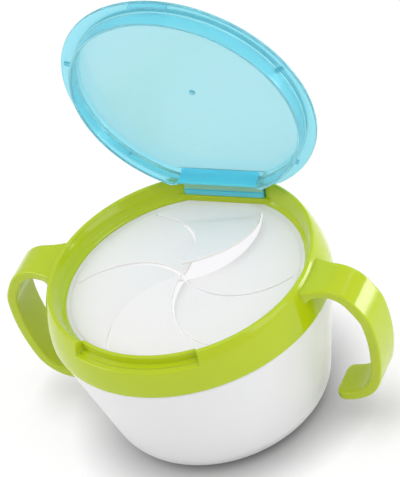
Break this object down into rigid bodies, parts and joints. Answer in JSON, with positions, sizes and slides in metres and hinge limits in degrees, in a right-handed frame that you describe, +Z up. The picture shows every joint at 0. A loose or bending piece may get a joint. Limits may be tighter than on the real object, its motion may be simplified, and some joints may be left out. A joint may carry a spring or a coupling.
{
  "type": "toddler snack container",
  "caption": "Round snack bowl with two open side handles, a twist-on collar with a swirl of soft finger flaps, and a hinged snap lid standing open.",
  "frame": {"origin": "centre of the bowl's flat base", "axes": "+Z up through the bowl's axis, handles along X, hinge towards +Y, thumb notch towards -Y"},
  "size_m": [0.158, 0.114, 0.1719],
  "materials": {
    "bowl_milk": "frosted translucent polypropylene",
    "collar_lime": "satin moulded polypropylene",
    "lid_sky": "glossy translucent polypropylene",
    "insert_soft": "matte soft elastomer"
  },
  "bodies": {
    "bowl": {"bowl": "bowl_milk"},
    "collar": {"collar": "collar_lime", "handle_left": "collar_lime", "handle_right": "collar_lime", "hinge_clip": "lid_sky", "insert_ring": "insert_soft"},
    "lid": {"lid": "lid_sky"},
    "flap_back": {"flap_back": "insert_soft"},
    "flap_back_left": {"flap_back_left": "insert_soft"},
    "flap_front_left": {"flap_front_left": "insert_soft"},
    "flap_front": {"flap_front": "insert_soft"},
    "flap_front_right": {"flap_front_right": "insert_soft"},
    "flap_back_right": {"flap_back_right": "insert_soft"}
  },
  "joints": [
    {"name": "collar_turn", "type": "hinge", "parent": "bowl", "child": "collar", "pos_m": [0, 0, 0.056], "axis": [0, 0, 1], "range_deg": [0, 45]},
    {"name": "lid_hinge", "type": "hinge", "parent": "collar", "child": "lid", "pos_m": [0, 0.047, 0.0728], "axis": [-1, 0, 0], "range_deg": [-84.5, 20]},
    {"name": "flap_back_bend", "type": "hinge", "parent": "collar", "child": "flap_back", "pos_m": [0.01719, 0.0405, 0.06385], "axis": [-0.9798, -0.1999, 0], "range_deg": [-72.5, 12.5], "stiffness_Nm_per_rad": 0.03},
    {"name": "flap_back_left_bend", "type": "hinge", "parent": "collar", "child": "flap_back_left", "pos_m": [-0.02648, 0.03514, 0.06385], "axis": [-0.3168, -0.9485, 0], "range_deg": [-63, 22], "stiffness_Nm_per_rad": 0.03},
    {"name": "flap_front_left_bend", "type": "hinge", "parent": "collar", "child": "flap_front_left", "pos_m": [-0.04367, -0.00536, 0.06385], "axis": [0.663, -0.7486, 0], "range_deg": [-60, 25], "stiffness_Nm_per_rad": 0.03},
    {"name": "flap_front_bend", "type": "hinge", "parent": "collar", "child": "flap_front", "pos_m": [-0.01719, -0.0405, 0.06385], "axis": [0.9798, 0.1999, 0], "range_deg": [-65, 20], "stiffness_Nm_per_rad": 0.03},
    {"name": "flap_front_right_bend", "type": "hinge", "parent": "collar", "child": "flap_front_right", "pos_m": [0.02648, -0.03514, 0.06385], "axis": [0.3168, 0.9485, 0], "range_deg": [-60, 25], "stiffness_Nm_per_rad": 0.03},
    {"name": "flap_back_right_bend", "type": "hinge", "parent": "collar", "child": "flap_back_right", "pos_m": [0.04367, 0.00536, 0.06385], "axis": [-0.663, 0.7486, 0], "range_deg": [-60, 25], "stiffness_Nm_per_rad": 0.03}
  ]
}
